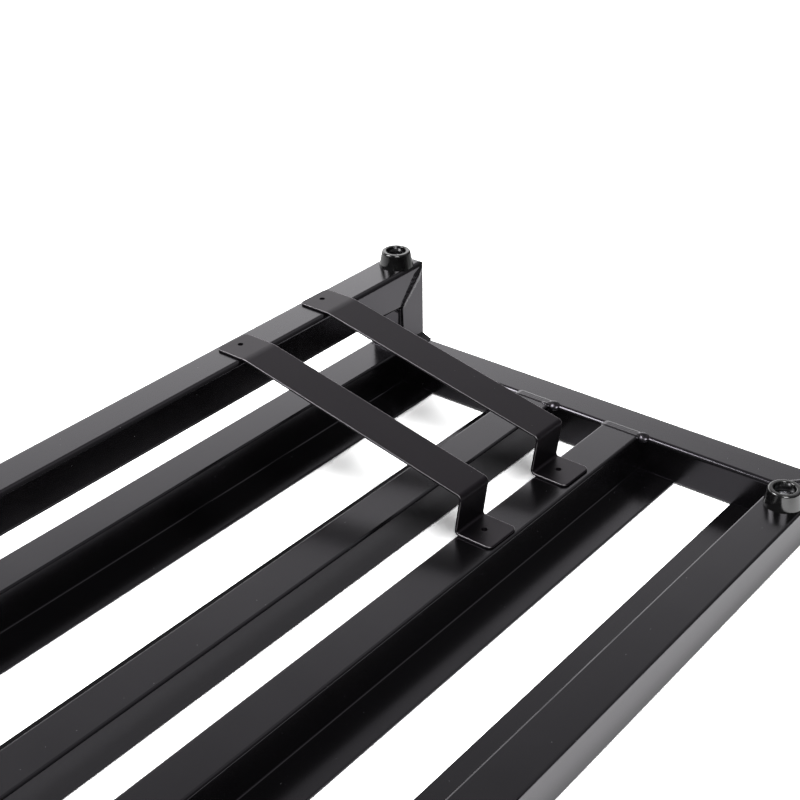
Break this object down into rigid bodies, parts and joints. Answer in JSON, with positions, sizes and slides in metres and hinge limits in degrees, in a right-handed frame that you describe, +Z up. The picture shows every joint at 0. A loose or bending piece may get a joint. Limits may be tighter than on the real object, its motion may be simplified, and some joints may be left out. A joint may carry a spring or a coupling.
{
  "type": "effects pedalboard frame",
  "caption": "Slatted welded tube frame for effects pedals, lying deck side down, with rubber feet on its raised rear and loose bent strap brackets over the supply bay.",
  "frame": {"origin": "middle of the deck face, which lies on the floor as in the picture", "axes": "+X along the rails, +Y from the front deck rail to the raised base rail at the rear, +Z up from the deck face to the feet"},
  "size_m": [0.61, 0.3174, 0.0905],
  "materials": {
    "frame_coat": "satin black powder coat on aluminium tube",
    "weld_coat": "black powder coat over weld beads",
    "bracket_coat": "matt black powder coat on steel strap",
    "rubber": "smooth moulded rubber with a slight gloss",
    "zinc_washer": "zinc-plated steel",
    "plated_screw": "plated steel screw, cross recess"
  },
  "bodies": {
    "frame": {"base_rail": "frame_coat", "front_deck_rail": "frame_coat", "front_left_foot": "rubber", "front_left_foot_screw": "plated_screw", "front_left_foot_washer": "zinc_washer", "front_right_foot": "rubber", "front_right_foot_screw": "plated_screw", "front_right_foot_washer": "zinc_washer", "left_corner_weld": "weld_coat", "left_end_rail": "frame_coat", "left_leg_welds": "weld_coat", "left_rail_welds": "weld_coat", "left_rear_leg": "frame_coat", "rear_deck_rail": "frame_coat", "rear_left_foot": "rubber", "rear_left_foot_screw": "plated_screw", "rear_left_foot_washer": "zinc_washer", "rear_right_foot": "rubber", "rear_right_foot_screw": "plated_screw", "rear_right_foot_washer": "zinc_washer", "right_corner_weld": "weld_coat", "right_end_rail": "frame_coat", "right_leg_welds": "weld_coat", "right_rail_welds": "weld_coat", "right_rear_leg": "frame_coat", "second_deck_rail": "frame_coat", "third_deck_rail": "frame_coat"},
    "right_bracket": {"right_strap_bracket": "bracket_coat"},
    "left_bracket": {"left_strap_bracket": "bracket_coat"}
  },
  "joints": [
    {"name": "right_bracket_slide", "type": "slide", "parent": "frame", "child": "right_bracket", "axis": [1, 0, 0], "range_m": [-0.023, 0.044]},
    {"name": "left_bracket_slide", "type": "slide", "parent": "frame", "child": "left_bracket", "axis": [1, 0, 0], "range_m": [-0.404, 0.023]}
  ]
}
